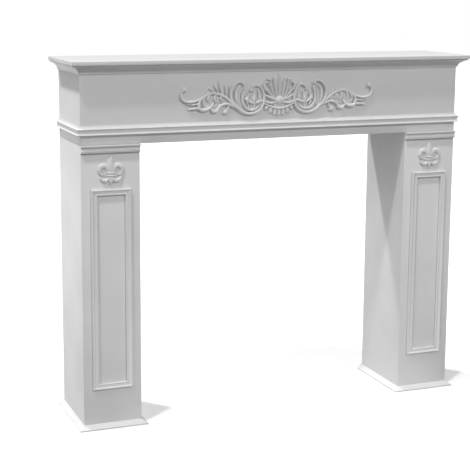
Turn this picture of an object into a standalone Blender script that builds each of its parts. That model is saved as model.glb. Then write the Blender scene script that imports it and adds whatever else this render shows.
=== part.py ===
# Fireplace mantelpiece in white painted wood: two hollow legs, a hollow header box, a thin
# shelf, mitred mouldings and three cast ornaments. Metres, +Z up, the front faces -Y, and the
# origin is on the floor under the middle of the shelf.
import math

import bmesh
import bpy
from mathutils import Vector

# Overall sizes
SHELF_WIDTH = 1.200
SHELF_DEPTH = 0.272
SHELF_THICKNESS = 0.011
SIDE_OVERHANG = 0.028
FRONT_OVERHANG = 0.034
SHELF_EDGE_ROUND = 0.0015
TOTAL_HEIGHT = 1.018
HEADER_HEIGHT = 0.214
LEG_WIDTH = 0.165
BOARD = 0.015
JOINT_GAP = 0.0003

# Mouldings: how far each stands out, and how tall it is
CORNICE_OUT = 0.024
CORNICE_HEIGHT = 0.0245
CORNICE_FILLET = 0.003
CORNICE_FLATNESS = 0.35
ARCHITRAVE_OUT = 0.010
ARCHITRAVE_HEIGHT = 0.026
ARCHITRAVE_RISE = 0.027
ARCHITRAVE_SHOULDER = 0.017
ARCHITRAVE_FILLET = 0.002
ARCHITRAVE_HOLLOW = 0.0036
ARCHITRAVE_WALL_FILLET = 0.001
CAP_OUT = 0.012
CAP_HEIGHT = 0.0205
CAP_FILLET = 0.0037
CAP_HOLLOW = 0.0066
CAP_LIP = 0.0074
CAP_LIP_HEIGHT = 0.0026
SKIRTING_OUT = 0.015
SKIRTING_HEIGHT = 0.015
SKIRTING_LIP = 0.004
SKIRTING_FLATNESS = 0.8

# Applied panel frame on each leg, its margins at the sides, under the cap and at the floor
FRAME_MARGIN = 0.0265
FRAME_TOP_MARGIN = 0.0995
FRAME_BASE = 0.113
FRAME_STICK = 0.0165
FRAME_OUT = 0.008
FRAME_BEAD = 0.0026
FRAME_INNER_OUT = 0.0062
FRAME_INNER_BEAD = 0.002
FRAME_SAG = 0.0012

# Cast ornaments
LILY_HEIGHT = 0.088
LILY_RELIEF = 0.009
LILY_LIFT = 0.004
SCROLL_WIDTH = 0.588
SCROLL_RELIEF = 0.011
SCROLL_FULLNESS = 1.12

# Paints: colour and roughness
WHITE_SATIN = ((0.86, 0.86, 0.85), 0.42)
ORNAMENT_SATIN = ((0.84, 0.84, 0.83), 0.48)

# Worked out from the sizes above
BODY_HALF = SHELF_WIDTH / 2 - SIDE_OVERHANG
FRONT = -SHELF_DEPTH / 2 + FRONT_OVERHANG
BACK = SHELF_DEPTH / 2
SHELF_UNDERSIDE = TOTAL_HEIGHT - SHELF_THICKNESS
OPENING_HEIGHT = SHELF_UNDERSIDE - HEADER_HEIGHT
ARCHITRAVE_BASE = OPENING_HEIGHT + ARCHITRAVE_RISE
FRIEZE_BASE = ARCHITRAVE_BASE + ARCHITRAVE_HEIGHT
FRIEZE_TOP = SHELF_UNDERSIDE - CORNICE_HEIGHT
CAP_BASE = OPENING_HEIGHT - CAP_HEIGHT
FRAME_TOP = CAP_BASE - FRAME_TOP_MARGIN
LEG_CENTRE = BODY_HALF - LEG_WIDTH / 2
ARC_STEPS = 6

ALONG_X = Vector((1, 0, 0))
ALONG_Y = Vector((0, 1, 0))
UP = Vector((0, 0, 1))


def clear_scene():
    for obj in list(bpy.data.objects):
        bpy.data.objects.remove(obj)


def paint(name, colour, roughness):
    material = bpy.data.materials.new(name)
    material.use_nodes = True
    shader = material.node_tree.nodes["Principled BSDF"]
    shader.inputs["Base Color"].default_value = (*colour, 1.0)
    shader.inputs["Roughness"].default_value = roughness
    shader.inputs["Metallic"].default_value = 0.0
    return material


def face_outwards(bm):
    bmesh.ops.recalc_face_normals(bm, faces=bm.faces)
    if bm.calc_volume(signed=True) < 0:
        bmesh.ops.reverse_faces(bm, faces=bm.faces)


def finish(bm, name, look):
    """Makes the object, with a painted material of its own."""
    face_outwards(bm)
    mesh = bpy.data.meshes.new(name)
    bm.to_mesh(mesh)
    bm.free()
    mesh.materials.append(paint(name + "_paint", *look))
    obj = bpy.data.objects.new(name, mesh)
    bpy.context.scene.collection.objects.link(obj)
    return obj


def arc(centre, radii, start, end):
    """Points of an elliptical arc in a profile, angles in degrees."""
    points = []
    for step in range(ARC_STEPS + 1):
        angle = math.radians(start + (end - start) * step / ARC_STEPS)
        points.append((centre[0] + radii[0] * math.cos(angle), centre[1] + radii[1] * math.sin(angle)))
    return points


# Boards

def board(name, outline, bottom, top, look):
    """A board with this outline on plan, from one height to another."""
    bm = bmesh.new()
    face = bm.faces.new([bm.verts.new((x, y, bottom)) for x, y in outline])
    raised = bmesh.ops.extrude_face_region(bm, geom=[face])["geom"]
    moved = [v for v in raised if isinstance(v, bmesh.types.BMVert)]
    bmesh.ops.translate(bm, verts=moved, vec=UP * (top - bottom))
    return finish(bm, name, look)


def hollow_box(prefix, sides, left, right, bottom, top, look):
    """A front board and two side boards with mitred corners, open at the back."""
    gap = JOINT_GAP * math.sqrt(2)
    board(prefix + "_front",
          [(left + gap, FRONT), (right - gap, FRONT), (right - BOARD - gap, FRONT + BOARD),
           (left + BOARD + gap, FRONT + BOARD)], bottom, top, look)
    board(prefix + sides[0],
          [(left, FRONT), (left + BOARD, FRONT + BOARD), (left + BOARD, BACK), (left, BACK)],
          bottom, top, look)
    board(prefix + sides[1],
          [(right, FRONT), (right, BACK), (right - BOARD, BACK), (right - BOARD, FRONT + BOARD)],
          bottom, top, look)


def build_legs(look):
    top = OPENING_HEIGHT - JOINT_GAP
    hollow_box("left_leg", ("_outer_side", "_inner_side"),
               -BODY_HALF, -BODY_HALF + LEG_WIDTH, 0, top, look)
    hollow_box("right_leg", ("_inner_side", "_outer_side"),
               BODY_HALF - LEG_WIDTH, BODY_HALF, 0, top, look)


def build_header(look):
    hollow_box("header", ("_left_end", "_right_end"), -BODY_HALF, BODY_HALF,
               OPENING_HEIGHT, SHELF_UNDERSIDE - JOINT_GAP, look)
    inside = BODY_HALF - BOARD - JOINT_GAP
    near = FRONT + BOARD + JOINT_GAP
    board("header_soffit", [(-inside, near), (inside, near), (inside, BACK), (-inside, BACK)],
          OPENING_HEIGHT, OPENING_HEIGHT + BOARD, look)


def build_shelf(look):
    bm = bmesh.new()
    bmesh.ops.create_cube(bm, size=1.0)
    bmesh.ops.scale(bm, verts=bm.verts, vec=(SHELF_WIDTH, SHELF_DEPTH, SHELF_THICKNESS))
    bmesh.ops.translate(bm, verts=bm.verts, vec=UP * (TOTAL_HEIGHT - SHELF_THICKNESS / 2))
    upper = [e for e in bm.edges if all(v.co.z > SHELF_UNDERSIDE + SHELF_THICKNESS / 2 for v in e.verts)]
    bmesh.ops.bevel(bm, geom=upper, offset=SHELF_EDGE_ROUND, offset_type="OFFSET", segments=2,
                    profile=0.5, affect="EDGES", material=-1)
    return finish(bm, "shelf", look)


# Mouldings

def length_of_moulding(name, profile, start, along, length, out, up, mitres, look):
    """One straight length. A profile point is (how far out, how far up). Each end is cut back,
    or run on when its mitre is -1, by as much as the point stands out."""
    bm = bmesh.new()
    near, far = mitres
    place = [start + out * (o + JOINT_GAP) + up * u for o, u in profile]
    ends = [(near * o + JOINT_GAP, length - far * o - JOINT_GAP) for o, _ in profile]
    verts = [bm.verts.new(p + along * first) for p, (first, _) in zip(place, ends)]
    face = bm.faces.new(verts)
    extruded = bmesh.ops.extrude_face_region(bm, geom=[face])["geom"]
    for vert in [v for v in extruded if isinstance(v, bmesh.types.BMVert)]:
        run = min(range(len(place)), key=lambda i: (place[i] + along * ends[i][0] - vert.co).length)
        vert.co += along * (ends[run][1] - ends[run][0])
    return finish(bm, name, look)


def cornice_profile():
    """A shallow cove between two fillets, widest at the top."""
    fillet = CORNICE_FILLET
    curve = arc((CORNICE_OUT, fillet), (CORNICE_OUT - fillet, CORNICE_HEIGHT - 2 * fillet), 180, 90)
    flatter = [(o, u - CORNICE_FLATNESS * (u - fillet) * (1 - o / CORNICE_OUT)) for o, u in curve]
    return [(0, 0), (fillet, 0), *flatter, (CORNICE_OUT, CORNICE_HEIGHT), (0, CORNICE_HEIGHT)]


def architrave_profile():
    """A sloping top, then a hollow between two fillets."""
    low, high = ARCHITRAVE_FILLET, ARCHITRAVE_SHOULDER - ARCHITRAVE_FILLET
    hollow = arc((ARCHITRAVE_OUT, (low + high) / 2), (ARCHITRAVE_HOLLOW, (high - low) / 2), 270, 90)
    slope = arc((ARCHITRAVE_OUT, ARCHITRAVE_HEIGHT),
                (ARCHITRAVE_OUT - ARCHITRAVE_WALL_FILLET, ARCHITRAVE_HEIGHT - ARCHITRAVE_SHOULDER), 270, 180)
    return [(0, 0), (ARCHITRAVE_OUT, 0), *hollow, *slope, (0, ARCHITRAVE_HEIGHT)]


def cap_profile():
    """A top fillet over a hollow that ends in a smaller lip."""
    hollow = arc((CAP_OUT, CAP_HEIGHT / 2), (CAP_HOLLOW, CAP_HEIGHT / 2 - CAP_FILLET), 240, 90)
    return [(0, 0), (CAP_LIP, 0), (CAP_LIP, CAP_LIP_HEIGHT), *hollow, (CAP_OUT, CAP_HEIGHT),
            (0, CAP_HEIGHT)]


def skirting_profile():
    """A lip at the floor and a gentle hollow up to the leg."""
    rise = SKIRTING_HEIGHT - SKIRTING_LIP
    hollow = [(SKIRTING_OUT * (1 - t),
               SKIRTING_LIP + rise * t * (SKIRTING_FLATNESS + (1 - SKIRTING_FLATNESS) * t))
              for t in (step / ARC_STEPS for step in range(ARC_STEPS + 1))]
    return [(0, 0), (SKIRTING_OUT, 0), *hollow]


def frame_profile():
    """Panel frame stick, as (in from its outer edge, out from the leg): two beads and a groove."""
    outer, inner = FRAME_BEAD, FRAME_INNER_BEAD
    outer_bead = arc((outer, FRAME_OUT - outer), (outer, outer), 180, 60)
    inner_bead = arc((FRAME_STICK - inner, FRAME_INNER_OUT - inner), (inner, inner), 120, 0)
    start, end = outer_bead[-1], inner_bead[0]
    groove = [(start[0] + (end[0] - start[0]) * t,
               start[1] + (end[1] - start[1]) * t - 4 * FRAME_SAG * t * (1 - t))
              for t in (step / ARC_STEPS for step in range(1, ARC_STEPS))]
    return [(0, 0), *outer_bead, *groove, *inner_bead, (FRAME_STICK, 0)]


def run_round(prefix, profile, half, level, centre, sides, look):
    """A moulding along the front and down both sides of a box, mitred at the front corners."""
    left, right = centre - half, centre + half
    depth = BACK - FRONT
    front_left = Vector((left, FRONT, level))
    front_right = Vector((right, FRONT, level))
    length_of_moulding(prefix + "_front", profile, front_left, ALONG_X, right - left,
                       -ALONG_Y, UP, (-1, -1), look)
    length_of_moulding(prefix + sides[0], profile, front_left, ALONG_Y, depth,
                       -ALONG_X, UP, (-1, 0), look)
    length_of_moulding(prefix + sides[1], profile, front_right, ALONG_Y, depth,
                       ALONG_X, UP, (-1, 0), look)


def build_mouldings(look):
    run_round("cornice", cornice_profile(), BODY_HALF, FRIEZE_TOP - JOINT_GAP, 0,
              ("_left", "_right"), look)
    run_round("architrave", architrave_profile(), BODY_HALF, ARCHITRAVE_BASE, 0,
              ("_left", "_right"), look)
    run_round("left_skirting", skirting_profile(), LEG_WIDTH / 2, 0, -LEG_CENTRE,
              ("_outer", "_inner"), look)
    run_round("right_skirting", skirting_profile(), LEG_WIDTH / 2, 0, LEG_CENTRE,
              ("_inner", "_outer"), look)
    for side, centre in (("left", -LEG_CENTRE), ("right", LEG_CENTRE)):
        start = Vector((centre - LEG_WIDTH / 2, FRONT, CAP_BASE))
        length_of_moulding(side + "_leg_cap", cap_profile(), start, ALONG_X, LEG_WIDTH,
                           -ALONG_Y, UP, (0, 0), look)


def build_panel_frames(look):
    """Four mitred sticks on each leg."""
    height = FRAME_TOP - FRAME_BASE
    width = LEG_WIDTH - 2 * FRAME_MARGIN
    profile = [(out, inward) for inward, out in frame_profile()]
    for side, centre in (("left", -LEG_CENTRE), ("right", LEG_CENTRE)):
        left, right = centre - width / 2, centre + width / 2
        sticks = {
            "_frame_bottom": (Vector((left, FRONT, FRAME_BASE)), ALONG_X, width, UP),
            "_frame_top": (Vector((left, FRONT, FRAME_TOP)), ALONG_X, width, -UP),
            "_frame_left": (Vector((left, FRONT, FRAME_BASE)), UP, height, ALONG_X),
            "_frame_right": (Vector((right, FRONT, FRAME_BASE)), UP, height, -ALONG_X),
        }
        for name, (start, along, length, inward) in sticks.items():
            frame_stick(side + name, profile, start, along, length, inward, look)


def frame_stick(name, profile, start, along, length, inward, look):
    """One stick of a panel frame, its ends cut back by as much as it reaches inwards."""
    bm = bmesh.new()
    verts = [bm.verts.new(start - ALONG_Y * (out + JOINT_GAP) + inward * reach + along * (reach + JOINT_GAP))
             for out, reach in profile]
    face = bm.faces.new(verts)
    extruded = bmesh.ops.extrude_face_region(bm, geom=[face])["geom"]
    for vert in [v for v in extruded if isinstance(v, bmesh.types.BMVert)]:
        reach = (vert.co - start).dot(inward)
        vert.co += along * (length - 2 * (reach + JOINT_GAP))
    return finish(bm, name, look)


# Cast ornaments: rounded ribs that follow smooth paths on the face, joined into one casting

TUBE_SIDES = 2
SPAN_STEPS = 2
SINK = 0.35
CASTING_DETAIL = 0.6
MIRROR_DEPTH = 0.99
FROND_DEPTH = 0.78
MIDDLE_DEPTH = 0.96
BALL_DEPTH = 0.9
SKIRT_DEPTH = 0.74
SCROLL_DRAWING = 588.0
LILY_DRAWING = 88.0

# The frieze ornament, in drawing units from its centre: (path, half-widths). The drawing is
# 588 units long. A path has a point where its curve turns, and the half-width runs evenly
# through the values given. These are on the right, with a mirror image on the left.
SCROLL_PAIRS = {
    "lyre": ([(84, 26), (77, 36), (64, 38), (52, 27), (46, 8), (48, -12), (60, -31), (84, -40),
              (108, -35), (130, -18), (143, 2), (145, 24), (135, 41), (119, 48), (108, 43)],
             (2.6, 4.2, 4.8, 5.0, 5.0, 4.2, 3.2)),
    "inner_arm": ([(84, -40), (98, -31), (109, -14), (113, 4), (112, 22), (104, 32)],
                  (3.0, 4.0, 3.6, 2.4)),
    "arch": ([(112, -34), (134, -18), (150, -2), (166, 10), (184, 17), (202, 19), (220, 13),
              (233, 3), (239, -10), (235, -23), (221, -24), (207, -19), (197, -9)],
             (3.0, 4.2, 4.4, 4.2, 4.2, 5.2, 2.8)),
    "tail": ([(216, 14), (234, 5), (252, -2), (270, -3), (284, 3), (290, 14), (288, 25), (281, 30)],
             (2.6, 4.0, 3.6, 3.0, 2.6)),
    "under_leaf": ([(120, -28), (138, -18), (152, -12), (167, -12), (180, -20), (190, -31)],
                   (2.6, 4.0, 4.2, 2.8)),
    "ball_stem": ([(150, -12), (155, -24), (162, -34)], (2.6, 2.8, 3.2)),
    "curl": ([(180, -18), (186, -29), (196, -30), (204, -21)], (2.6, 3.6, 3.6, 2.6)),
    "leaflet_low": ([(234, -22), (252, -21), (270, -24)], (3.4, 3.8, 1.2)),
    "leaflet_high": ([(238, -9), (256, -11), (274, -9)], (2.2, 3.0, 1.2)),
    "tooth_1": ([(176, 14), (177, 6), (173, -1)], (2.2, 3.2, 1.4)),
    "tooth_2": ([(190, 17), (194, 7), (192, 0)], (2.2, 3.4, 1.4)),
    "tooth_3": ([(206, 17), (211, 7), (209, 0)], (2.2, 3.4, 1.4)),
    "flower_out": ([(74, -12), (84, -10), (92, -5), (98, 0)], (2.4, 3.8, 3.4, 2.8)),
    "flower_in": ([(76, -12), (66, -11), (56, -6), (49, -4)], (2.4, 4.0, 3.8, 2.4)),
    "flower_bud": ([(76, -14), (77, 0), (77, 18)], (2.4, 6.0, 1.8)),
    "flower_stem": ([(76, -10), (77, -24), (82, -38)], (2.4, 2.4, 2.8)),
    "outer_flute": ([(9, 4), (12, 24), (15, 42), (16, 57)], (2.6, 4.6, 5.6, 5.0, 2.6)),
    "side_flute": ([(14, 2), (20, 18), (25, 33), (27, 47)], (2.6, 4.4, 4.8, 2.6)),
    "crest": ([(12, 0), (25, 11), (34, 21), (43, 27), (47, 37), (41, 46), (32, 44), (31, 37)],
              (2.6, 3.8, 4.0, 3.4, 2.4)),
    "crest_top": ([(24, 40), (28, 52), (36, 55)], (2.6, 3.4, 2.0)),
    "shell_side": ([(8, -4), (26, 3), (44, 11)], (2.6, 4.6, 2.8)),
    "cheek": ([(8, -9), (28, -12), (47, -6)], (2.6, 4.0, 2.8)),
}
# On the left only, five fronds stand up from the arch.
SCROLL_FRONDS = {
    "frond_1": ([(-148, -3), (-146, 18), (-149, 37)], (2.2, 3.2, 1.2)),
    "frond_2": ([(-158, 5), (-159, 22), (-163, 40)], (2.2, 3.4, 1.2)),
    "frond_3": ([(-168, 11), (-174, 28), (-182, 48)], (2.2, 3.8, 1.2)),
    "frond_4": ([(-178, 15), (-185, 29), (-194, 42)], (2.2, 3.6, 1.2)),
    "frond_5": ([(-188, 17), (-197, 25), (-208, 31)], (2.2, 3.4, 1.2)),
}
SCROLL_MIDDLE = {
    "flute": ([(0, 4), (0, 24), (0, 46), (0, 67)], (2.8, 5.0, 6.2, 5.4, 2.8)),
    "rim": ([(-45, -13), (-30, -20), (-15, -25), (0, -27), (15, -25), (30, -20), (45, -13)],
            (3.0, 4.2, 4.6, 4.2, 3.0)),
}
# Balls: centre and half-width
SCROLL_BALLS = [((281, 30), 5.6), ((162, -34), 6.2), ((98, 0), 5.6), ((108, 42), 4.6), ((84, 25), 4.8)]
SCROLL_BOSS = ((0, -4), 12.5)
SCROLL_SPAN = (-48, 69)
SKIRT = {"lobes": 4, "half": 42, "edge": -26, "rim": -20, "rim_share": 0.86, "sag": 20, "rim_sag": 8,
         "widths": (4.4, 6.6, 4.8)}

# The right half of the lily and its middle, from the middle of its band. It is 88 units tall.
LILY_SPAN = (-34, 54)
LILY_RIBS = {
    "petal": ([(6, -2), (9, 11), (16, 20), (25, 20), (31, 12), (30, 2), (25, -4)],
              (3.2, 5.4, 6.8, 6.8, 5.0, 3.0)),
    "tail": ([(4, -9), (12, -19), (22, -18), (29, -11)], (3.8, 5.6, 5.0, 2.2)),
}
LILY_SIDE_DEPTH = 0.85
# The same, with each one's share of the relief
LILY_MIDDLE = {
    "spear": ([(0, 0), (0, 24), (0, 40), (0, 53)], (6.0, 12.6, 9.0, 0.8), 0.92),
    "drop": ([(0, -6), (0, -20), (0, -34)], (5.0, 7.6, 0.8), 0.78),
    "band": ([(-11, -3), (0, -3), (11, -3)], (4.6, 4.8, 4.6), 1.0),
}


def smooth_path(points):
    """A Catmull-Rom curve through the points."""
    ends = [points[0], *points, points[-1]]
    path = []
    for i in range(1, len(ends) - 2):
        a, b, c, d = (Vector(p) for p in ends[i - 1:i + 3])
        for step in range(SPAN_STEPS):
            t = step / SPAN_STEPS
            path.append(0.5 * (2 * b + (c - a) * t + (2 * a - 5 * b + 4 * c - d) * t ** 2
                               + (3 * b - a - 3 * c + d) * t ** 3))
    path.append(Vector(points[-1]))
    return path


def fuller(widths):
    return [width * SCROLL_FULLNESS for width in widths]


def even_width(widths, share):
    """The half-width at this share of the path, evenly between the values given."""
    place = share * (len(widths) - 1)
    first = min(int(place), len(widths) - 2)
    return widths[first] + (widths[first + 1] - widths[first]) * (place - first)


def rib(path, widths, relief, collection):
    """A tapering rounded rib along a path in the XZ plane, as deep as relief says at its widest."""
    curve = bpy.data.curves.new("rib", "CURVE")
    curve.dimensions = "3D"
    curve.bevel_depth = 1.0
    curve.bevel_resolution = TUBE_SIDES
    curve.use_fill_caps = True
    spline = curve.splines.new("POLY")
    spline.points.add(len(path) - 1)
    for i, (point, place) in enumerate(zip(spline.points, path)):
        point.co = (place.x, 0, place.y, 1)
        point.radius = even_width(widths, i / (len(path) - 1))
    obj = bpy.data.objects.new("rib", curve)
    bpy.context.scene.collection.objects.link(obj)
    mesh = bpy.data.meshes.new_from_object(obj.evaluated_get(bpy.context.evaluated_depsgraph_get()))
    bpy.data.objects.remove(obj)
    bm = bmesh.new()
    bm.from_mesh(mesh)
    bmesh.ops.remove_doubles(bm, verts=bm.verts, dist=1e-4)
    bmesh.ops.scale(bm, verts=bm.verts, vec=(1, relief / max(widths), 1))
    add_to_casting(bm, collection)


def ball(centre, radius, relief, collection):
    bm = bmesh.new()
    bmesh.ops.create_uvsphere(bm, u_segments=10, v_segments=6, radius=radius)
    bmesh.ops.scale(bm, verts=bm.verts, vec=(1, relief / radius, 1))
    bmesh.ops.translate(bm, verts=bm.verts, vec=(centre[0], 0, centre[1]))
    add_to_casting(bm, collection)


def add_to_casting(bm, collection):
    face_outwards(bm)
    mesh = bpy.data.meshes.new("form")
    bm.to_mesh(mesh)
    bm.free()
    collection.objects.link(bpy.data.objects.new("form", mesh))


def mirrored(points):
    return [(-x, z) for x, z in points]


def casting(name, collection, scale, centre, look):
    """Joins the forms into one solid with a flat back on the face at centre."""
    first = collection.objects[0]
    collection.objects.unlink(first)
    bpy.context.scene.collection.objects.link(first)
    bpy.context.scene.collection.children.link(collection)
    join = first.modifiers.new("join", "BOOLEAN")
    join.operation = "UNION"
    join.operand_type = "COLLECTION"
    join.collection = collection
    join.solver = "EXACT"
    join.use_self = True
    simplify = first.modifiers.new("simplify", "DECIMATE")
    simplify.ratio = CASTING_DETAIL
    bpy.context.view_layer.update()
    mesh = bpy.data.meshes.new_from_object(first.evaluated_get(bpy.context.evaluated_depsgraph_get()))
    for form in [first, *collection.objects]:
        bpy.data.objects.remove(form)
    bpy.data.collections.remove(collection)
    bm = bmesh.new()
    bm.from_mesh(mesh)
    cut = bmesh.ops.bisect_plane(bm, geom=[*bm.verts, *bm.edges, *bm.faces], dist=1e-5,
                                 plane_co=(0, SINK, 0), plane_no=ALONG_Y, clear_outer=True)
    rim = [e for e in cut["geom_cut"] if isinstance(e, bmesh.types.BMEdge)]
    bmesh.ops.triangle_fill(bm, edges=rim, use_beauty=True, use_dissolve=False)
    bmesh.ops.scale(bm, verts=bm.verts, vec=(scale, scale, scale))
    back = centre - ALONG_Y * (JOINT_GAP + SINK * scale)
    bmesh.ops.translate(bm, verts=bm.verts, vec=back)
    obj = finish(bm, name, look)
    obj.data.shade_smooth()
    obj.data.set_sharp_from_angle(angle=math.radians(50))
    return obj


def build_scroll(look):
    """The frieze ornament: lyre scrolls and leaves each side of a shell with a scalloped skirt."""
    scale = SCROLL_WIDTH / SCROLL_DRAWING
    relief = SCROLL_RELIEF / scale
    forms = bpy.data.collections.new("scroll_forms")
    for points, widths in SCROLL_PAIRS.values():
        depth = relief * (0.45 + 0.10 * max(widths))
        rib(smooth_path(points), fuller(widths), depth, forms)
        rib(smooth_path(mirrored(points)), fuller(widths), depth * MIRROR_DEPTH, forms)
    for points, widths in SCROLL_FRONDS.values():
        rib(smooth_path(points), fuller(widths), relief * FROND_DEPTH, forms)
    for points, widths in SCROLL_MIDDLE.values():
        rib(smooth_path(points), fuller(widths), relief * MIDDLE_DEPTH, forms)
    for (x, z), radius in SCROLL_BALLS:
        ball((x, z), radius, relief * BALL_DEPTH, forms)
        ball((-x, z), radius, relief * BALL_DEPTH * MIRROR_DEPTH, forms)
    for lobe in range(-SKIRT["lobes"], SKIRT["lobes"] + 1):
        share = lobe / SKIRT["lobes"]
        hang = 1 - share * share
        top = Vector((SKIRT["half"] * SKIRT["rim_share"] * share, SKIRT["rim"] - hang * SKIRT["rim_sag"]))
        tip = Vector((SKIRT["half"] * share, SKIRT["edge"] - hang * SKIRT["sag"]))
        rib([top, (top + tip) / 2, tip], SKIRT["widths"], relief * SKIRT_DEPTH, forms)
    ball(*SCROLL_BOSS, relief, forms)
    middle = (FRIEZE_BASE + FRIEZE_TOP) / 2 - scale * sum(SCROLL_SPAN) / 2
    centre = Vector((0, FRONT, middle))
    casting("scroll_ornament", forms, scale, centre, look)


def build_lilies(look):
    """A fleur-de-lis at the head of each leg."""
    scale = LILY_HEIGHT / LILY_DRAWING
    relief = LILY_RELIEF / scale
    band_height = (CAP_BASE + FRAME_TOP) / 2 + LILY_LIFT - scale * sum(LILY_SPAN) / 2
    for side, x in (("left", -LEG_CENTRE), ("right", LEG_CENTRE)):
        forms = bpy.data.collections.new("lily_forms")
        for points, widths in LILY_RIBS.values():
            rib(smooth_path(points), widths, relief * LILY_SIDE_DEPTH, forms)
            rib(smooth_path(mirrored(points)), widths, relief * LILY_SIDE_DEPTH * MIRROR_DEPTH, forms)
        for points, widths, share in LILY_MIDDLE.values():
            rib(smooth_path(points), widths, relief * share, forms)
        centre = Vector((x, FRONT, band_height))
        casting(side + "_lily", forms, scale, centre, look)


def build():
    clear_scene()
    build_legs(WHITE_SATIN)
    build_header(WHITE_SATIN)
    build_shelf(WHITE_SATIN)
    build_mouldings(WHITE_SATIN)
    build_panel_frames(WHITE_SATIN)
    build_lilies(ORNAMENT_SATIN)
    build_scroll(ORNAMENT_SATIN)


build()
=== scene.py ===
# White painted fireplace mantelpiece: eased boards, run mouldings and pressed ornaments
import math

import bmesh
import bpy
import numpy as np
from mathutils import Matrix, Vector


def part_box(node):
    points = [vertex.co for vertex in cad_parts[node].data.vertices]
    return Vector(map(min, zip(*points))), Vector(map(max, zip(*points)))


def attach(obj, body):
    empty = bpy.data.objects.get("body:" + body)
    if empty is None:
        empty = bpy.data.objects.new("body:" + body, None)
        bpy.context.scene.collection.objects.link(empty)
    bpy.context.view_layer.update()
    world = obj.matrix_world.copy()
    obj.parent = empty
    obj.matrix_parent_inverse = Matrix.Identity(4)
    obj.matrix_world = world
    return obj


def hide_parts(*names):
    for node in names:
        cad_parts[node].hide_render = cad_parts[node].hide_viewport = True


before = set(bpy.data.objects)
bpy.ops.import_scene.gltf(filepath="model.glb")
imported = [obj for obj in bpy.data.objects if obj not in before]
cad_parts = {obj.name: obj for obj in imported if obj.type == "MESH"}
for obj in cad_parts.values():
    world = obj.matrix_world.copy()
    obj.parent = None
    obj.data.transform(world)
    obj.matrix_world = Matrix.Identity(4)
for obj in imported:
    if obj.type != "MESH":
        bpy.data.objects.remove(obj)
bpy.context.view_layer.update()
print("frame loaded:", len(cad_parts), "nodes")

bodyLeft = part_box("header_left_end")[0][0]
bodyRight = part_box("header_right_end")[1][0]
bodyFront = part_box("header_front")[0][1]
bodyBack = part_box("header_right_end")[1][1]
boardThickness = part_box("header_soffit")[1][2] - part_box("header_soffit")[0][2]


# paint and board finishes

finishLook = {
    "specular": 0.42,
    "noiseRange": (0.3, 0.7),  # where most of a noise texture's values lie
}

paintLook = {
    "colour": (0.80, 0.80, 0.795),
    "patchColour": (0.765, 0.767, 0.765),
    "patchSize": 7,
    "patchRamp": (0.34, 0.6),
    "roughness": 0.42,
    "dullPatch": 0.06,
    "glossyPatch": 0.04,
    "rollerSize": 90,
    "rollerStretch": 0.06,
    "rollerDepth": 0.00018,
    "orangePeelSize": 620,
    "orangePeelDepth": 0.00006,
}

ornamentLook = {
    "colour": (0.80, 0.80, 0.795),
    # painted shade: the colour the paint darkens to deep in the relief's recesses, and the mask values over
    # which it does
    "hollowShadeColour": (0.60, 0.60, 0.595),
    "hollowShadeRamp": (0.15, 1.0),
    "roughness": 0.46,
    "grainSize": 900,
    "grainDepth": 0.00007,
}

primerLook = {
    "colour": (0.70, 0.69, 0.665),
    "boardColour": (0.52, 0.44, 0.34),
    "roughness": 0.72,
    "thinSize": 16,
    "thinStretch": 0.25,
    "thinRamp": (0.22, 0.5),
    "fibreSize": 480,
    "fibreDepth": 0.00012,
}


def newFinish(name, roughness):
    material = bpy.data.materials.new(name)
    material.use_nodes = True
    tree = material.node_tree
    shader = tree.nodes["Principled BSDF"]
    shader.inputs["Roughness"].default_value = roughness
    shader.inputs["Specular IOR Level"].default_value = finishLook["specular"]
    return material, tree, shader


def addNode(tree, kind, **inputs):
    node = tree.nodes.new(kind)
    for name, value in inputs.items():
        node.inputs[name].default_value = value
    return node


def noiseOn(tree, stretch, size, detail, roughness=0.55):
    # noise on Object coordinates, stretched along an axis by a Mapping node
    coordinates = tree.nodes.new("ShaderNodeTexCoord")
    mapping = addNode(tree, "ShaderNodeMapping", Scale=stretch)
    noise = addNode(tree, "ShaderNodeTexNoise", Scale=size, Detail=detail, Roughness=roughness)
    tree.links.new(coordinates.outputs["Object"], mapping.inputs["Vector"])
    tree.links.new(mapping.outputs["Vector"], noise.inputs["Vector"])
    return noise.outputs["Fac"]


def blendColours(tree, factor, low, high, ends):
    ramp = tree.nodes.new("ShaderNodeValToRGB")
    for element, colour, position in zip(ramp.color_ramp.elements, (low, high), ends):
        element.color = (*colour, 1)
        element.position = position
    tree.links.new(factor, ramp.inputs["Fac"])
    return ramp.outputs["Color"]


def rangeOf(tree, factor, low, high):
    spread = addNode(tree, "ShaderNodeMapRange")
    ends = (*finishLook["noiseRange"], low, high)
    for name, value in zip(("From Min", "From Max", "To Min", "To Max"), ends):
        spread.inputs[name].default_value = value
    tree.links.new(factor, spread.inputs["Value"])
    return spread.outputs["Result"]


def addBump(tree, height, depth, below=None):
    bump = addNode(tree, "ShaderNodeBump", Distance=depth)
    tree.links.new(height, bump.inputs["Height"])
    if below is not None:
        tree.links.new(below, bump.inputs["Normal"])
    return bump.outputs["Normal"]


def makeSatinPaint(name, stretch):
    # rolled satin paint: faint patches, roller marks along the board, fine orange peel
    look = paintLook
    material, tree, shader = newFinish(name, look["roughness"])
    patches = noiseOn(tree, (1, 1, 1), look["patchSize"], detail=4)
    marks = noiseOn(tree, stretch, look["rollerSize"], detail=2)
    peel = noiseOn(tree, (1, 1, 1), look["orangePeelSize"], detail=2)
    colour = blendColours(tree, patches, look["patchColour"], look["colour"], look["patchRamp"])
    tree.links.new(colour, shader.inputs["Base Color"])
    roughness = rangeOf(tree, patches, look["roughness"] + look["dullPatch"],
                        look["roughness"] - look["glossyPatch"])
    tree.links.new(roughness, shader.inputs["Roughness"])
    rolled = addBump(tree, marks, look["rollerDepth"])
    tree.links.new(addBump(tree, peel, look["orangePeelDepth"], rolled), shader.inputs["Normal"])
    return material


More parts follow.
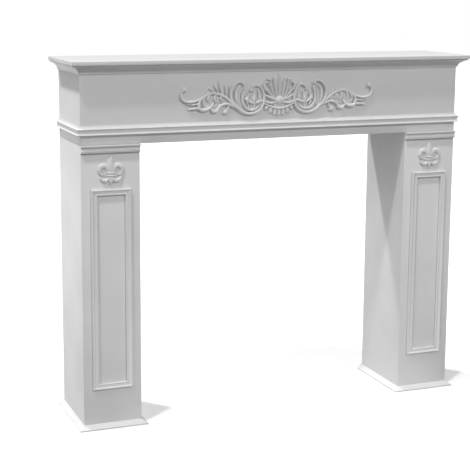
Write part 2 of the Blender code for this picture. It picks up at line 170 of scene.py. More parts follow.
def makeOrnamentPaint():
    # the same paint over pressed relief, darkened in its recesses as painted shade
    look = ornamentLook
    material, tree, shader = newFinish("ornamentPaintWithRecessShade", look["roughness"])
    # the hollow attribute darkens the base colour: painted shade in the relief's recesses
    hollowShadeMask = tree.nodes.new("ShaderNodeAttribute")
    hollowShadeMask.attribute_name = "hollow"
    colour = blendColours(tree, hollowShadeMask.outputs["Fac"], look["colour"], look["hollowShadeColour"],
                          look["hollowShadeRamp"])
    tree.links.new(colour, shader.inputs["Base Color"])
    grain = noiseOn(tree, (1, 1, 1), look["grainSize"], detail=3)
    tree.links.new(addBump(tree, grain, look["grainDepth"]), shader.inputs["Normal"])
    return material


def makePrimer():
    # inside faces and back edges: one thin coat over fibreboard
    look = primerLook
    material, tree, shader = newFinish("primedFibreboard", look["roughness"])
    thin = noiseOn(tree, (1, 1, look["thinStretch"]), look["thinSize"], detail=6, roughness=0.65)
    fibre = noiseOn(tree, (1, 1, 1), look["fibreSize"], detail=3)
    colour = blendColours(tree, thin, look["boardColour"], look["colour"], look["thinRamp"])
    tree.links.new(colour, shader.inputs["Base Color"])
    tree.links.new(addBump(tree, fibre, look["fibreDepth"]), shader.inputs["Normal"])
    return material


uprightPaint = makeSatinPaint("satinPaintUpright", (1, 1, paintLook["rollerStretch"]))
levelPaint = makeSatinPaint("satinPaintLevel", (paintLook["rollerStretch"], 1, 1))
ornamentPaint = makeOrnamentPaint()
primer = makePrimer()
print("finishes made")


# helpers for every piece

alongX = Vector((1, 0, 0))
alongY = Vector((0, 1, 0))
up = Vector((0, 0, 1))
samePlace = 1e-6  # points closer than this, in metres, count as one


def finishPiece(bm, name, materials, standsFor, sharpAngle=28):
    bmesh.ops.recalc_face_normals(bm, faces=bm.faces)
    if bm.calc_volume(signed=True) < 0:
        bmesh.ops.reverse_faces(bm, faces=bm.faces)
    mesh = bpy.data.meshes.new(name)
    bm.to_mesh(mesh)
    bm.free()
    for material in materials:
        mesh.materials.append(material)
    mesh.shade_smooth()
    mesh.set_sharp_from_angle(angle=math.radians(sharpAngle))
    piece = bpy.data.objects.new(name, mesh)
    bpy.context.scene.collection.objects.link(piece)
    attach(piece, "root")
    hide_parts(*standsFor)
    return piece


def movedVerts(extruded):
    return [v for v in extruded["geom"] if isinstance(v, bmesh.types.BMVert)]


def easeEdges(bm, edges, size, segments):
    bmesh.ops.bevel(bm, geom=edges, offset=size, offset_type="OFFSET", segments=segments,
                    profile=0.5, affect="EDGES", material=-1, clamp_overlap=True)


def sharpEdges(bm, degrees):
    return [e for e in bm.edges if len(e.link_faces) == 2 and e.calc_face_angle(0) > math.radians(degrees)]


def curveOf(centre, radii, start, end, steps):
    # an arc in a moulding's profile, angles in degrees
    angles = [math.radians(start + (end - start) * i / steps) for i in range(steps + 1)]
    return [(centre[0] + radii[0] * math.cos(a), centre[1] + radii[1] * math.sin(a)) for a in angles]


softeningLook = {
    "straight": 0.8,  # a corner whose turn has a larger cosine stays as it is
    "longestCut": 0.45,  # share of a side that one corner may take
    "pull": 0.5,  # how far the middle point stays out towards the corner
}


def softenProfile(points, radius):
    # rounds the corners of a profile by stepping in from each side of a point
    look = softeningLook
    aside = (1 - look["pull"]) / 2
    soft = []
    for i, here in enumerate(points):
        before = Vector(points[i - 1])
        after = Vector(points[(i + 1) % len(points)])
        corner = Vector(here)
        goingIn = (corner - before).normalized()
        goingOut = (after - corner).normalized()
        if goingIn.dot(goingOut) > look["straight"]:
            soft.append(here)
            continue
        cut = min(radius, (corner - before).length * look["longestCut"],
                  (after - corner).length * look["longestCut"])
        first = corner - goingIn * cut
        last = corner + goingOut * cut
        middle = first * aside + corner * look["pull"] + last * aside
        soft += [tuple(first), tuple(middle), tuple(last)]
    return soft


def place(corner, point):
    spot, outward, rise = corner
    return spot + outward * point[0] + rise * point[1]


def runMoulding(bm, profile, corners, closed=False):
    # profile points are (out, up); each corner is (place on the wall line, outward vector, up vector)
    first = [bm.verts.new(place(corners[0], point)) for point in profile]
    firstEdges = [bm.edges.new((first[i - 1], first[i])) for i in range(len(first))]
    current, currentEdges = first, firstEdges
    for corner in corners[1:]:
        extruded = bmesh.ops.extrude_edge_only(bm, edges=currentEdges)
        newVerts = movedVerts(extruded)
        following = []
        for old in current:
            following.append(next(v for v in newVerts
                                  if (v.co - old.co).length < samePlace and v not in following))
        for new, point in zip(following, profile):
            new.co = place(corner, point)
        current = following
        currentEdges = [e for e in extruded["geom"] if isinstance(e, bmesh.types.BMEdge)
                        and all(v in newVerts for v in e.verts)]
    if closed:
        bmesh.ops.bridge_loops(bm, edges=currentEdges + firstEdges)
    else:
        bm.faces.new(first)
        bm.faces.new(current)


# legs and header: boards glued up and painted as one casing

casingLook = {
    "cornerEase": 0.0013,
    "cornerSteps": 4,
    "edgeEase": 0.0006,
    "edgeSteps": 2,
    "edgeAngle": 50,
    "primerReach": 0.001,  # how far from a bare face its primer may begin
    "endUpright": 0.9,  # a face turned up or down more than this is a sawn end
}


def makeCasing(name, left, right, bottom, top, standsFor, paint):
    look = casingLook
    t = boardThickness
    bm = bmesh.new()
    outline = [(left, bodyBack), (left, bodyFront), (right, bodyFront), (right, bodyBack),
               (right - t, bodyBack), (right - t, bodyFront + t), (left + t, bodyFront + t),
               (left + t, bodyBack)]
    base = bm.faces.new([bm.verts.new((x, y, bottom)) for x, y in outline])
    raised = bmesh.ops.extrude_face_region(bm, geom=[base])
    bmesh.ops.translate(bm, verts=movedVerts(raised), vec=up * (top - bottom))
    bmesh.ops.recalc_face_normals(bm, faces=bm.faces)
    frontCorners = [e for e in bm.edges if all(abs(v.co.y - bodyFront) < samePlace for v in e.verts)
                    and abs(e.verts[0].co.x - e.verts[1].co.x) < samePlace]
    easeEdges(bm, frontCorners, look["cornerEase"], look["cornerSteps"])
    easeEdges(bm, sharpEdges(bm, look["edgeAngle"]), look["edgeEase"], look["edgeSteps"])
    near = look["primerReach"]
    for face in bm.faces:
        c = face.calc_center_median()
        inside = left + t - near < c.x < right - t + near and c.y > bodyFront + t - near
        cutEnd = c.y > bodyBack - near or abs(face.normal.z) > look["endUpright"]
        face.material_index = 1 if inside or cutEnd else 0
    return finishPiece(bm, name, [paint, primer], standsFor)


def makeLegs():
    for side in ("left", "right"):
        parts = [side + "_leg_front", side + "_leg_outer_side", side + "_leg_inner_side"]
        low = [min(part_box(p)[0][i] for p in parts) for i in range(3)]
        high = [max(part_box(p)[1][i] for p in parts) for i in range(3)]
        makeCasing(side + "LegCasing", low[0], high[0], low[2], high[2], parts, uprightPaint)
    print("legs made")


def makeHeader():
    low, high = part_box("header_front")
    makeCasing("headerCasing", bodyLeft, bodyRight, low[2], high[2],
               ["header_front", "header_left_end", "header_right_end"], levelPaint)
    makeSoffit()
    print("header made")


def boardMesh(low, high):
    bm = bmesh.new()
    bmesh.ops.create_cube(bm, size=1.0)
    bmesh.ops.scale(bm, verts=bm.verts, vec=high - low)
    bmesh.ops.translate(bm, verts=bm.verts, vec=(low + high) / 2)
    return bm


soffitLook = {
    "ease": 0.0006,
    "easeSteps": 2,
    "primerReach": 0.0003,
}


def makeSoffit():
    # the board over the opening, bare on top and at the back
    look = soffitLook
    low, high = (Vector(c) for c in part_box("header_soffit"))
    bm = boardMesh(low, high)
    easeEdges(bm, list(bm.edges), look["ease"], look["easeSteps"])
    for face in bm.faces:
        c = face.calc_center_median()
        bare = c.z > high.z - look["primerReach"] or c.y > high.y - look["primerReach"]
        face.material_index = 1 if bare else 0
    finishPiece(bm, "soffitBoard", [levelPaint, primer], ["header_soffit"])


# each round is its size and its steps
shelfLook = {
    "cornerRound": (0.0016, 3),
    "topRound": (0.0026, 4),
    "bottomRound": (0.0012, 2),
    "rimAngle": 60,
    "backTurn": 0.9,
}


def makeShelf():
    look = shelfLook
    low, high = (Vector(c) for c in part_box("shelf"))
    bm = boardMesh(low, high)
    middle = (low.z + high.z) / 2
    uprights = [e for e in bm.edges if min(v.co.z for v in e.verts) < middle < max(v.co.z for v in e.verts)]
    easeEdges(bm, uprights, *look["cornerRound"])
    topRim = [e for e in sharpEdges(bm, look["rimAngle"]) if all(v.co.z > middle for v in e.verts)]
    easeEdges(bm, topRim, *look["topRound"])
    bottomRim = [e for e in sharpEdges(bm, look["rimAngle"]) if all(v.co.z < middle for v in e.verts)]
    easeEdges(bm, bottomRim, *look["bottomRound"])
    bmesh.ops.recalc_face_normals(bm, faces=bm.faces)
    for face in bm.faces:
        face.material_index = 1 if face.normal.y > look["backTurn"] else 0
    finishPiece(bm, "shelfBoard", [levelPaint, primer], ["shelf"])
    print("shelf made")


# run mouldings, each mitred round its corners in one length

mouldingLook = {
    "arcSteps": 14,
    "arris": 0.0007,
    "wallGap": 0.0003,
    "corniceFillet": 0.003,
    "corniceFlatness": 0.35,
    "architraveFillet": 0.002,
    "architraveShoulder": 0.017,
    "architraveHollow": 0.0036,
    "architraveWallFillet": 0.001,
    "skirtingLip": 0.004,
    "skirtingFlatness": 0.8,
    "capFillet": 0.0037,
    "capHollow": 0.0066,
    "capHollowStart": 240,
    "capLip": 0.0074,
    "capLipHeight": 0.0026,
    "endRound": 0.0004,
    "endRoundSteps": 2,
    "endAngle": 60,
}


def makeRoundMoulding(name, profile, level, ends, standsFor, paint):
    # along the left side, the front and the right side, back edges flush
    left, right = ends
    gap = mouldingLook["wallGap"]
    left -= gap
    right += gap
    front = bodyFront - gap
    corners = [
        (Vector((left, bodyBack, level)), -alongX, up),
        (Vector((left, front, level)), -alongX - alongY, up),
        (Vector((right, front, level)), alongX - alongY, up),
        (Vector((right, bodyBack, level)), alongX, up),
    ]
    bm = bmesh.new()
    runMoulding(bm, profile, corners)
    return finishPiece(bm, name, [paint], standsFor)


def makeCornice():
    look = mouldingLook
    low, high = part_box("cornice_front")
    out = bodyFront - low[1] - look["wallGap"]
    tall = high[2] - low[2]
    fillet = look["corniceFillet"]
    curve = curveOf((out, fillet), (out - fillet, tall - 2 * fillet), 180, 90, look["arcSteps"])
    flatter = [(o, u - look["corniceFlatness"] * (u - fillet) * (1 - o / out)) for o, u in curve]
    profile = softenProfile([(0, 0), (fillet, 0), *flatter, (out, tall), (0, tall)], look["arris"])
    makeRoundMoulding("corniceCove", profile, low[2], (bodyLeft, bodyRight),
                      ["cornice_front", "cornice_left", "cornice_right"], levelPaint)
    print("cornice made")


def makeArchitrave():
    look = mouldingLook
    low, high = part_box("architrave_front")
    out = bodyFront - low[1] - look["wallGap"]
    tall = high[2] - low[2]
    steps = look["arcSteps"]
    bottom = look["architraveFillet"]
    top = look["architraveShoulder"] - bottom
    hollow = curveOf((out, (bottom + top) / 2), (look["architraveHollow"], (top - bottom) / 2),
                     270, 90, steps)
    reach = out - look["architraveWallFillet"]
    slope = curveOf((out, tall), (reach, tall - look["architraveShoulder"]), 270, 180, steps)
    profile = softenProfile([(0, 0), (out, 0), *hollow, *slope, (0, tall)], look["arris"])
    makeRoundMoulding("architraveMoulding", profile, low[2], (bodyLeft, bodyRight),
                      ["architrave_front", "architrave_left", "architrave_right"], levelPaint)
    print("architrave made")


def makeSkirtings():
    look = mouldingLook
    for side in ("left", "right"):
        low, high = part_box(side + "_skirting_front")
        legParts = [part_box(side + "_leg_outer_side"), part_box(side + "_leg_inner_side")]
        ends = (min(b[0][0] for b in legParts), max(b[1][0] for b in legParts))
        out = bodyFront - low[1] - look["wallGap"]
        tall = high[2] - low[2]
        lip, flat, steps = look["skirtingLip"], look["skirtingFlatness"], look["arcSteps"]
        rise = [(out * (1 - t), lip + (tall - lip) * t * (flat + (1 - flat) * t))
                for t in (i / steps for i in range(steps + 1))]
        profile = softenProfile([(0, 0), (out, 0), *rise], look["arris"])
        makeRoundMoulding(side + "Skirting", profile, low[2], ends,
                          [side + "_skirting_" + part for part in ("front", "outer", "inner")], levelPaint)
    print("skirtings made")


def makeLegCaps():
    look = mouldingLook
    for side in ("left", "right"):
        low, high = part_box(side + "_leg_cap")
        out = high[1] - low[1]
        tall = high[2] - low[2]
        hollow = curveOf((out, tall / 2), (look["capHollow"], tall / 2 - look["capFillet"]),
                         look["capHollowStart"], 90, look["arcSteps"])
        lip = look["capLip"]
        under = [(0, 0), (lip, 0), (lip, look["capLipHeight"])]
        profile = softenProfile([*under, *hollow, (out, tall), (0, tall)], look["arris"])
        bm = bmesh.new()
        corners = [(Vector((x, high[1], low[2])), -alongY, up) for x in (low[0], high[0])]
        runMoulding(bm, profile, corners)
        endEdges = [e for e in sharpEdges(bm, look["endAngle"])
                    if abs(e.verts[0].co.x - e.verts[1].co.x) < samePlace]
        easeEdges(bm, endEdges, look["endRound"], look["endRoundSteps"])
        finishPiece(bm, side + "LegCap", [levelPaint], [side + "_leg_cap"])
    print("leg caps made")


# a frame's profile runs from its outer edge inwards: a bead, a groove and a smaller bead
frameLook = {
    "bead": 0.0026,
    "beadEnd": 50,
    "innerBead": 0.0018,
    "innerBeadStart": 130,
    "innerOut": 0.0064,
    "grooveSag": 0.0013,
    "arris": 0.0004,
}


def makePanelFrames():
    look = frameLook
    for side in ("left", "right"):
        outer = [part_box(side + "_frame_" + part) for part in ("left", "right")]
        low = [min(b[0][i] for b in outer) for i in range(3)]
        high = [max(b[1][i] for b in outer) for i in range(3)]
        gap = mouldingLook["wallGap"]
        low[2] -= gap
        high[2] += gap
        stick = outer[0][1][0] - outer[0][0][0]
        out = high[1] - low[1]
        steps = mouldingLook["arcSteps"]
        bead, inner = look["bead"], look["innerBead"]
        nose = curveOf((bead, out - bead), (bead, bead), 180, look["beadEnd"], steps)
        rim = curveOf((stick - inner, look["innerOut"] - inner), (inner, inner),
                      look["innerBeadStart"], 0, steps)
        groove = [(nose[-1][0] + (rim[0][0] - nose[-1][0]) * t,
                   nose[-1][1] + (rim[0][1] - nose[-1][1]) * t - 4 * look["grooveSag"] * t * (1 - t))
                  for t in (i / steps for i in range(1, steps))]
        inward = [(0, 0), *nose, *groove, *rim, (stick, 0)]
        profile = softenProfile([(depth, reach) for reach, depth in inward], look["arris"])
        wall = high[1]
        corners = [
            (Vector((low[0], wall, low[2])), -alongY, alongX + up),
            (Vector((high[0], wall, low[2])), -alongY, -alongX + up),
            (Vector((high[0], wall, high[2])), -alongY, -alongX - up),
            (Vector((low[0], wall, high[2])), -alongY, alongX - up),
        ]
        bm = bmesh.new()
        runMoulding(bm, profile, corners, closed=True)
        finishPiece(bm, side + "PanelFrame", [uprightPaint],
                    [side + "_frame_" + part for part in ("top", "bottom", "left", "right")])
    print("panel frames made")


# pressed ornaments: a relief drawn in millimetres as strokes, raised on a fine grid

reliefLook = {
    "gridStep": 0.85,
    "blend": 0.7,  # how softly strokes run into each other
    "ground": -2.0,
    "pathStep": 1.2,
    "reach": 1.9,  # how far past its half-width a stroke still counts
    "taper": 0.55,  # how a stroke sinks where it narrows
    "lowest": -9.0,
    "highest": 30,
    "ballFlatness": 0.92,
    "ballFoot": 1.28,
    # blur passes, blur step and gain of the recess measure that the ornament paint shows as painted shade
    "hollowPasses": 4,
    "hollowStep": 2,
    "hollowGain": 0.9,
    "sharpAngle": 60,
}

# height across a stroke by its share of the half-width: crest times (1 - fall * share ** power), less
# slope for each share past its start, plus ribs or grooves given as height, place and width
sectionLook = {
    "scroll": {"crest": 1, "fall": 1, "power": 2.6, "slope": (0, 0), "ribs": [(-0.16, 0, 0.34)]},
    "leaf": {"crest": 0.9, "fall": 1, "power": 2.2, "slope": (0, 0),
             "ribs": [(-0.22, 0, 0.16), (0.1, 0.45, 0.2)]},
    "swell": {"crest": 1, "fall": 0.45, "power": 2, "slope": (4, 0.8), "ribs": []},
    "flute": {"crest": 1, "fall": 0.9, "power": 2, "slope": (0.1, 0), "ribs": []},
    "cord": {"crest": 1, "fall": 1, "power": 2.4, "slope": (0, 0), "ribs": []},
}


def smoothPath(points, step):
    # a Catmull-Rom curve through the points
    ends = [points[0], *points, points[-1]]
    path = []
    for i in range(1, len(ends) - 2):
        a, b, c, d = (np.array(p, float) for p in ends[i - 1:i + 3])
        count = max(2, int(np.linalg.norm(c - b) / step))
        for t in np.arange(count) / count:
            path.append(0.5 * (2 * b + (c - a) * t + (2 * a - 5 * b + 4 * c - d) * t ** 2
                               + (3 * b - a - 3 * c + d) * t ** 3))
    path.append(np.array(points[-1], float))
    return np.array(path)


def crossSection(kind, edge):
    look = sectionLook[kind]
    slope, start = look["slope"]
    height = look["crest"] * (1 - look["fall"] * edge ** look["power"]) - slope * np.maximum(0, edge - start)
    for rib, spot, width in look["ribs"]:
        height = height + rib * np.exp(-((edge - spot) / width) ** 2)
    return height


class ReliefSheet:
    # the heights of one ornament on a grid, in millimetres
    def __init__(self, width, height, centre):
        step = reliefLook["gridStep"]
        self.columns = int(width / step) + 1
        self.rows = int(height / step) + 1
        self.x = centre[0] + (np.arange(self.columns) - (self.columns - 1) / 2) * step
        self.z = centre[1] + (np.arange(self.rows) - (self.rows - 1) / 2) * step
        blend = reliefLook["blend"]
        self.total = np.full((self.rows, self.columns), np.exp(reliefLook["ground"] / blend))

    def raiseStroke(self, points, widths, crest, kind):
        path = smoothPath(points, reliefLook["pathStep"])
        along = np.linspace(0, len(widths) - 1, len(path))
        half = np.interp(along, np.arange(len(widths)), widths)
        reach = half.max() * reliefLook["reach"]
        columns = np.where((self.x > path[:, 0].min() - reach) & (self.x < path[:, 0].max() + reach))[0]
        rows = np.where((self.z > path[:, 1].min() - reach) & (self.z < path[:, 1].max() + reach))[0]
        gridX, gridZ = np.meshgrid(self.x[columns], self.z[rows])
        best = np.full(gridX.shape, reliefLook["lowest"])
        for i in range(len(path) - 1):
            start = path[i]
            run = path[i + 1] - start
            length = max(run @ run, 1e-9)
            t = np.clip(((gridX - start[0]) * run[0] + (gridZ - start[1]) * run[1]) / length, 0, 1)
            gap = np.hypot(gridX - start[0] - t * run[0], gridZ - start[1] - t * run[1])
            width = half[i] + (half[i + 1] - half[i]) * t
            rise = crest * np.minimum(1, width / half.max()) ** reliefLook["taper"]
            best = np.maximum(best, rise * crossSection(kind, gap / width))
        self.merge(rows, columns, best)

    def raiseBall(self, centre, radius, crest):
        look = reliefLook
        gridX, gridZ = np.meshgrid(self.x, self.z)
        away = np.hypot(gridX - centre[0], gridZ - centre[1]) / radius
        dome = np.sqrt(np.maximum(0, 1 - away ** 2 * look["ballFlatness"]))
        height = np.where(away < 1, dome, look["ballFoot"] - away) * crest
        self.merge(np.arange(self.rows), np.arange(self.columns), height)

    def merge(self, rows, columns, heights):
        look = reliefLook
        limited = np.clip(heights, look["lowest"], look["highest"])
        self.total[np.ix_(rows, columns)] += np.exp(limited / look["blend"])

    def heights(self):
        return reliefLook["blend"] * np.log(self.total)


def makeRelief(sheet, name, centre, deepest, standsFor):
    look = reliefLook
    heights = sheet.heights()
    # how far each point lies below its blurred surroundings, kept as the hollow attribute that the ornament
    # paint turns into painted shade
    near = heights.copy()
    step = look["hollowStep"]
    for _ in range(look["hollowPasses"]):
        near = (near + np.roll(near, step, 0) + np.roll(near, -step, 0)
                + np.roll(near, step, 1) + np.roll(near, -step, 1)) / 5
    hollow = np.clip((near - heights) * look["hollowGain"], 0, 1)
    heights *= min(1, deepest / heights.max())
    bm = bmesh.new()
    bmesh.ops.create_grid(bm, x_segments=sheet.columns - 1, y_segments=sheet.rows - 1, size=0.5)
    shade = bm.verts.layers.float.new("hollow")
    for vert in bm.verts:
        column = round((vert.co.x + 0.5) * (sheet.columns - 1))
        row = round((vert.co.y + 0.5) * (sheet.rows - 1))
        vert[shade] = hollow[row, column]
        vert.co = Vector((sheet.x[column], -heights[row, column], sheet.z[row]))
    # the sheet is cut off at the wall and closed with a flat back
    bmesh.ops.bisect_plane(bm, geom=[*bm.verts, *bm.edges, *bm.faces], dist=1e-4,
                           plane_co=(0, 0, 0), plane_no=(0, 1, 0), clear_outer=True)
    rim = [e for e in bm.edges if e.is_boundary]
    bmesh.ops.triangle_fill(bm, edges=rim, use_beauty=True, use_dissolve=False)
    bmesh.ops.scale(bm, verts=bm.verts, vec=(0.001, 0.001, 0.001))
    bmesh.ops.translate(bm, verts=bm.verts, vec=centre)
    return finishPiece(bm, name, [ornamentPaint], standsFor,
                       sharpAngle=look["sharpAngle"])


scrollDrawing = {
    "centreBelowTop": 0.0663,
    "sheet": (610, 136, (0, 8)),
    "crest": 9.8,
    "deepest": 11.6,
    # heights as shares of the crest; a pair's stroke gains some for each millimetre of half-width
    "pairHeight": 0.52,
    "pairGain": 0.09,
    "frondHeight": 0.82,
    "ballHeight": 0.95,
    "bossHeight": 1.1,
    # path, half-widths, section; on the right, with a mirror image on the left
    "pairs": [
        ([(84, 26), (77, 36), (64, 38), (52, 27), (46, 8), (48, -12), (60, -31), (84, -40),
          (108, -35), (130, -18), (143, 2), (145, 24), (135, 41), (119, 48), (108, 43)],
         (3.0, 5.0, 5.6, 5.8, 6.2, 5.4, 3.8), "scroll"),
        ([(55, -10), (62, -21), (73, -28), (86, -30), (98, -25), (107, -14), (111, 0), (110, 16),
          (104, 30)],
         (3.0, 4.4, 5.0, 4.6, 3.0), "scroll"),
        ([(112, -34), (134, -18), (150, -2), (166, 10), (184, 17), (202, 19), (220, 13),
          (233, 3), (239, -10), (235, -23), (221, -26), (207, -21), (197, -9)],
         (3.2, 5.0, 5.2, 4.8, 4.8, 6.6, 3.4), "scroll"),
        ([(216, 14), (234, 5), (252, -2), (270, -3), (284, 3), (290, 14), (288, 25), (281, 30)],
         (2.8, 3.8, 5.4, 5.0, 3.2), "scroll"),
        ([(120, -28), (138, -18), (152, -12), (167, -12), (180, -20), (190, -31)],
         (3.0, 4.8, 5.0, 3.4), "scroll"),
        ([(150, -12), (155, -24), (162, -34)], (2.8, 3.4, 4.0), "cord"),
        ([(180, -17), (185, -29), (196, -31), (205, -21)], (3.4, 5.2, 5.6, 3.4), "scroll"),
        ([(234, -22), (250, -21), (270, -24)], (4.2, 5.0, 1.8), "leaf"),
        ([(238, -8), (256, -11), (274, -9)], (3.0, 4.0, 1.6), "leaf"),
        ([(172, 14), (176, 5), (172, -5)], (3.0, 5.0, 2.4), "leaf"),
        ([(188, 18), (194, 6), (190, -8)], (3.0, 5.6, 2.6), "leaf"),
        ([(205, 18), (213, 6), (211, -7)], (3.0, 5.6, 2.6), "leaf"),
        ([(219, 11), (227, -1), (226, -14)], (2.8, 4.6, 2.4), "leaf"),
        ([(74, -12), (84, -10), (92, -5), (98, 0)], (3.0, 5.0, 4.4, 3.4), "leaf"),
        ([(76, -12), (66, -9), (56, -5), (47, -6)], (3.0, 5.2, 5.0, 3.0), "leaf"),
        ([(76, -16), (77, 0), (75, 18)], (3.4, 7.4, 2.6), "leaf"),
        ([(64, -14), (60, 4), (64, 22)], (2.6, 5.4, 2.4), "leaf"),
        ([(92, -18), (97, -4), (93, 16)], (2.6, 4.8, 2.4), "leaf"),
        ([(126, -14), (130, 6), (128, 26), (118, 36)], (3.0, 6.4, 6.4, 2.6), "leaf"),
        ([(76, -10), (77, -22), (82, -32)], (3.0, 3.2, 3.4), "cord"),
        ([(9, 4), (12, 24), (15, 42), (16, 57)], (3.0, 5.0, 6.2, 5.6, 2.8), "flute"),
        ([(14, 2), (20, 18), (25, 33), (27, 47)], (3.0, 5.0, 5.4, 3.0), "flute"),
        ([(12, 0), (25, 11), (34, 21), (43, 27), (47, 37), (41, 46), (32, 44), (31, 37)],
         (3.0, 4.6, 5.0, 4.4, 3.0), "scroll"),
        ([(24, 40), (28, 52), (36, 55)], (3.0, 4.4, 2.6), "cord"),
        ([(8, -4), (26, 3), (44, 11)], (3.4, 5.8, 3.4), "leaf"),
        ([(8, -9), (28, -12), (47, -6)], (3.2, 5.2, 3.4), "leaf"),
    ],
    # low swells that join the strokes: path, half-widths and height
    "swells": [
        ([(150, -4), (172, 2), (196, 4), (216, 2), (226, -10)], (5, 11, 14, 13, 9), 3.6),
        ([(194, -14), (216, -14)], (8, 10), 3.4),
        ([(74, -26), (76, -6), (76, 16)], (12, 16, 9), 3.2),
        ([(62, -12), (56, 10), (62, 28)], (8, 9, 6), 3.0),
        ([(118, -18), (126, 2), (126, 24), (118, 36)], (7, 11, 11, 7), 3.2),
        ([(126, -22), (142, -10)], (6, 7), 3.4),
    ],
    # five fronds that stand up on the left only
    "fronds": [
        ([(-146, -5), (-146, 18), (-149, 37)], (3.0, 4.4, 1.8)),
        ([(-157, 4), (-159, 22), (-163, 40)], (3.0, 4.6, 1.8)),
        ([(-168, 10), (-174, 28), (-181, 50)], (3.0, 5.2, 1.8)),
        ([(-178, 14), (-185, 28), (-195, 42)], (3.0, 4.8, 1.8)),
        ([(-188, 16), (-197, 25), (-209, 32)], (3.0, 4.6, 1.8)),
    ],
    "balls": [((281, 30), 6.8), ((162, -34), 7.6), ((98, 0), 7.0), ((108, 42), 5.4), ((84, 25), 5.6)],
    "boss": ((0, -4), 14.0),
    # the shell's middle flute and the rim under it: path, half-widths, height, section
    "middle": [
        ([(0, 4), (0, 24), (0, 46), (0, 67)], (2.8, 5.2, 6.4, 5.6, 2.8), 1.0, "flute"),
        ([(-45, -13), (-30, -20), (-15, -25), (0, -27), (15, -25), (30, -20), (45, -13)],
         (3.2, 4.4, 4.8, 4.4, 3.2), 0.98, "scroll"),
    ],
    "shell": ([(0, -2), (0, 20), (0, 42)], (27, 36, 24), 4.6),
    "skirt": {"lobes": 3, "half": 39, "edge": -27, "sag": 17, "tuck": 5, "topHalf": 0.9, "topSag": 0.35,
              "widths": (5.4, 8.0, 7.4), "height": 0.74},
}


def raiseBoth(sheet, points, *rest):
    # a stroke and its mirror image
    sheet.raiseStroke(points, *rest)
    sheet.raiseStroke([(-x, z) for x, z in points], *rest)


def makeScroll():
    drawing = scrollDrawing
    crest = drawing["crest"]
    sheet = ReliefSheet(*drawing["sheet"])
    for points, widths, kind in drawing["pairs"]:
        tall = crest * (drawing["pairHeight"] + drawing["pairGain"] * max(widths))
        raiseBoth(sheet, points, widths, tall, kind)
    for points, widths in drawing["fronds"]:
        sheet.raiseStroke(points, widths, crest * drawing["frondHeight"], "leaf")
    for points, widths, share, kind in drawing["middle"]:
        sheet.raiseStroke(points, widths, crest * share, kind)
    skirt = drawing["skirt"]
    for lobe in range(-skirt["lobes"], skirt["lobes"] + 1):
        across = lobe / skirt["lobes"]
        sag = 1 - across * across
        top = (skirt["half"] * skirt["topHalf"] * across,
               skirt["edge"] + skirt["tuck"] - sag * skirt["sag"] * skirt["topSag"])
        tip = (skirt["half"] * across, skirt["edge"] - sag * skirt["sag"])
        sheet.raiseStroke([top, tip], skirt["widths"], crest * skirt["height"], "flute")
    for points, widths, height in drawing["swells"]:
        raiseBoth(sheet, points, widths, height, "swell")
    sheet.raiseStroke(*drawing["shell"], "swell")
    for (x, z), radius in drawing["balls"]:
        for side in (1, -1):
            sheet.raiseBall((side * x, z), radius, crest * drawing["ballHeight"])
    sheet.raiseBall(*drawing["boss"], crest * drawing["bossHeight"])
    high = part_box("scroll_ornament")[1]
    centre = Vector((0, high[1], high[2] - drawing["centreBelowTop"]))
    makeRelief(sheet, "scrollOrnament", centre, drawing["deepest"], ["scroll_ornament"])
    print("scroll ornament made")


lilyDrawing = {
    "bandBelowTop": 0.0543,
    "sheet": (88, 100, (0, 9.5)),
    "crest": 7.4,
    "deepest": 8.8,
    # petal and drooping tail on the right, with a mirror image on the left
    "pairs": [
        ([(6, -2), (9, 11), (16, 20), (25, 20), (31, 12), (30, 2), (24, -4)], (3.6, 5.8, 7.4, 7.4, 5.6, 3.6)),
        ([(4, -9), (12, -19), (22, -18), (29, -11)], (4.2, 6.2, 5.6, 2.8)),
    ],
    "middle": [
        ([(0, -2), (0, 24), (0, 40), (0, 52.5)], (6.4, 12.6, 9.2, 1.4), "leaf"),
        ([(0, -6), (0, -20), (0, -33)], (5.4, 8.0, 1.4), "leaf"),
    ],
    "swells": [([(12, -2), (20, 6)], (9, 9), 2.6)],
    "pairHeight": 0.94,
    # two cords tied round the stems: their levels, half length and half-widths
    "bands": [1.5, -5.5],
    "bandHalf": 8.5,
    "bandWidths": (3.4, 3.6, 3.4),
}


def makeLilies():
    drawing = lilyDrawing
    crest = drawing["crest"]
    half = drawing["bandHalf"]
    for side in ("left", "right"):
        low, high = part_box(side + "_lily")
        sheet = ReliefSheet(*drawing["sheet"])
        for points, widths in drawing["pairs"]:
            raiseBoth(sheet, points, widths, crest * drawing["pairHeight"], "scroll")
        for points, widths, kind in drawing["middle"]:
            sheet.raiseStroke(points, widths, crest, kind)
        for points, widths, height in drawing["swells"]:
            raiseBoth(sheet, points, widths, height, "swell")
        for level in drawing["bands"]:
            sheet.raiseStroke([(-half, level), (half, level)], drawing["bandWidths"], crest, "cord")
        centre = Vector(((low[0] + high[0]) / 2, high[1], high[2] - drawing["bandBelowTop"]))
        makeRelief(sheet, side + "Lily", centre, drawing["deepest"], [side + "_lily"])
    print("lilies made")


makeLegs()
makeHeader()
makeShelf()
makeCornice()
makeArchitrave()
makeSkirtings()
makeLegCaps()
makePanelFrames()
makeScroll()
makeLilies()


# floor, light and camera

stageLook = {
    "floorColour": (0.93, 0.93, 0.93),
    "floorSize": 14,
    "floorRoughness": 0.9,
    "backdropStrength": 1.0,
    "ambientStrength": 0.15,
    "floorGlow": 0.3,
}


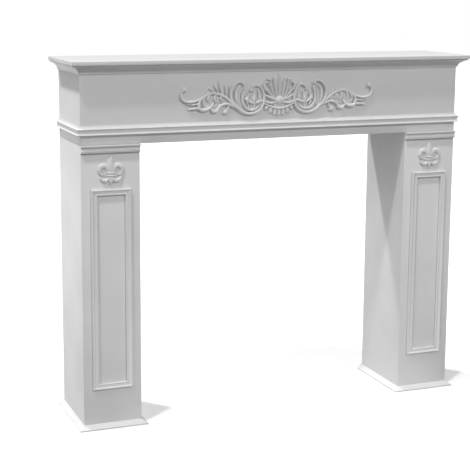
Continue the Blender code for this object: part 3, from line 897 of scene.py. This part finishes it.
def makeFloor():
    bm = bmesh.new()
    bmesh.ops.create_grid(bm, x_segments=1, y_segments=1, size=stageLook["floorSize"])
    mesh = bpy.data.meshes.new("studioFloor")
    bm.to_mesh(mesh)
    bm.free()
    material, tree, shader = newFinish("studioFloor", stageLook["floorRoughness"])
    shader.inputs["Base Color"].default_value = (*stageLook["floorColour"], 1)
    shader.inputs["Emission Color"].default_value = (1, 1, 1, 1)
    shader.inputs["Emission Strength"].default_value = stageLook["floorGlow"]
    mesh.materials.append(material)
    floor = bpy.data.objects.new("studioFloor", mesh)
    bpy.context.scene.collection.objects.link(floor)
    floor.visible_diffuse = False  # its bounce is left to the lamp just over it


def makeWorld():
    world = bpy.data.worlds.new("studioWorld")
    bpy.context.scene.world = world
    world.use_nodes = True
    tree = world.node_tree
    background = tree.nodes["Background"]
    background.inputs["Color"].default_value = (1, 1, 1, 1)
    seen = tree.nodes.new("ShaderNodeLightPath")
    strength = addNode(tree, "ShaderNodeMapRange")
    strength.inputs["To Min"].default_value = stageLook["ambientStrength"]
    strength.inputs["To Max"].default_value = stageLook["backdropStrength"]
    tree.links.new(seen.outputs["Is Camera Ray"], strength.inputs["Value"])
    tree.links.new(strength.outputs["Result"], background.inputs["Strength"])


# each lamp: where it shines from, seen from the middle of the piece, its size in degrees and its strength
lampLook = {
    "leftFront": {"from": (-1.1, -0.86, 3.0), "softness": 4, "strength": 1.2},
    "leftRear": {"from": (-1.1, 1.25, 3.0), "softness": 4, "strength": 1.75},
    "leftWide": {"from": (-1.0, -0.2, 0.4), "softness": 75, "strength": 1.0},
    "rightFront": {"from": (0.38, -0.85, 0.60), "softness": 7, "strength": 1.1},
}


bounceLook = {
    "width": 1.0,
    "depth": 1.2,
    "centre": (0.05, -0.12, 0.003),
    "power": 1.1,
}


def makeBounce():
    # light thrown up by the floor between and before the legs
    look = bounceLook
    lamp = bpy.data.lights.new("floorBounce", "AREA")
    lamp.shape = "RECTANGLE"
    lamp.size = look["width"]
    lamp.size_y = look["depth"]
    lamp.energy = look["power"]
    holder = bpy.data.objects.new("floorBounce", lamp)
    holder.location = look["centre"]
    holder.rotation_euler = (math.pi, 0, 0)
    holder.visible_camera = False
    bpy.context.scene.collection.objects.link(holder)


def makeLamps():
    for name, look in lampLook.items():
        lamp = bpy.data.lights.new(name, "SUN")
        lamp.energy = look["strength"]
        lamp.angle = math.radians(look["softness"])
        holder = bpy.data.objects.new(name, lamp)
        holder.rotation_euler = Vector(look["from"]).to_track_quat("Z", "Y").to_euler()
        bpy.context.scene.collection.objects.link(holder)


# the photograph's camera: distances from the header's front left corner at floor level, in metres
cameraLook = {
    "fromCorner": (-0.7942, -3.1613, 1.2166),
    "turn": -21.368,
    "tilt": -9.936,
    "roll": 0.37,
    "focalPixels": 1226.5,
    "photoWidth": 470,
    "centreRow": 200,
    "sensorWidth": 36,
    "clip": (0.05, 60),
}


def makeCamera():
    look = cameraLook
    data = bpy.data.cameras.new("studioCamera")
    data.sensor_width = look["sensorWidth"]
    data.lens = look["focalPixels"] * data.sensor_width / look["photoWidth"]
    data.shift_y = (look["centreRow"] - look["photoWidth"] / 2) / look["photoWidth"]
    data.clip_start, data.clip_end = look["clip"]
    camera = bpy.data.objects.new("studioCamera", data)
    spot = Vector((bodyLeft, bodyFront, 0)) + Vector(look["fromCorner"])
    turning = Matrix.Rotation(math.radians(look["turn"]), 4, "Z")
    tilting = Matrix.Rotation(math.radians(90 + look["tilt"]), 4, "X")
    rolling = Matrix.Rotation(math.radians(look["roll"]), 4, "Z")
    camera.matrix_world = Matrix.Translation(spot) @ turning @ tilting @ rolling
    bpy.context.scene.collection.objects.link(camera)
    bpy.context.scene.camera = camera


makeFloor()
makeWorld()
makeLamps()
makeBounce()
makeCamera()
bpy.context.scene.view_settings.view_transform = "Standard"
print("stage, lamps and camera made")
